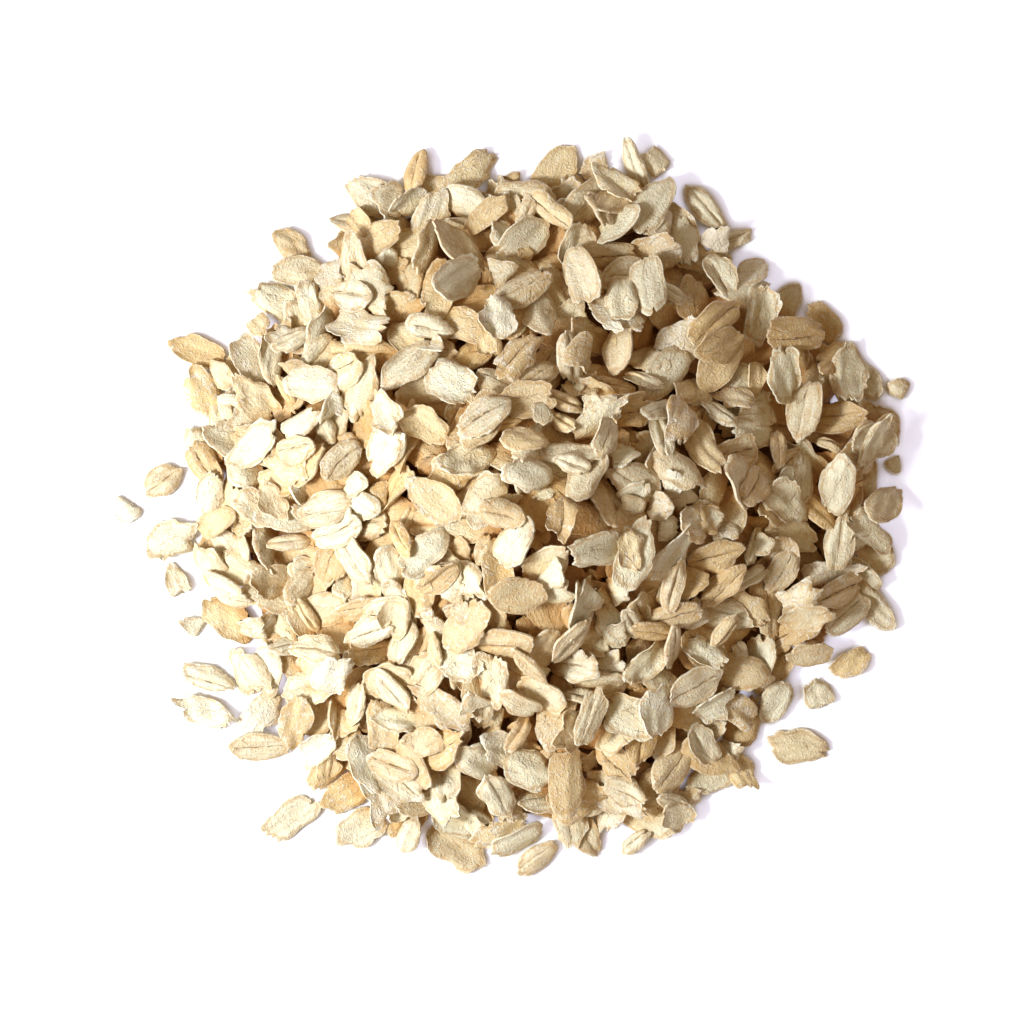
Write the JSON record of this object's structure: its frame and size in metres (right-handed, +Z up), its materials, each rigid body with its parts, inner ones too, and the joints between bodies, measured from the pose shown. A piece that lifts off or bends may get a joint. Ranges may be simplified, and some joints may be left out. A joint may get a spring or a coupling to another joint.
{
  "type": "heap of rolled oats",
  "caption": "Loose round heap of dry rolled oats lying on a bare surface, with single flakes that slid clear of its foot.",
  "frame": {"origin": "on the table surface, below the middle of the box round the heap and its loose flakes", "axes": "+Z up, +Y towards the top of the picture, +X to its right"},
  "size_m": [0.1251, 0.1148, 0.0263],
  "materials": {
    "oat_heap": "matte",
    "flake_creased": "matte",
    "flake_smooth": "matte",
    "flake_torn": "matte",
    "flake_broken": "matte",
    "flake_narrow": "matte"
  },
  "bodies": {
    "root": {"oat_heap": "oat_heap", "stray_flake_01": "flake_smooth", "stray_flake_02": "flake_smooth", "stray_flake_03": "flake_creased", "stray_flake_04": "flake_torn", "stray_flake_05": "flake_narrow", "stray_flake_06": "flake_broken", "stray_flake_07": "flake_torn", "stray_flake_08": "flake_broken", "stray_flake_09": "flake_smooth", "stray_flake_10": "flake_broken", "stray_flake_11": "flake_broken", "stray_flake_12": "flake_broken"}
  },
  "joints": []
}
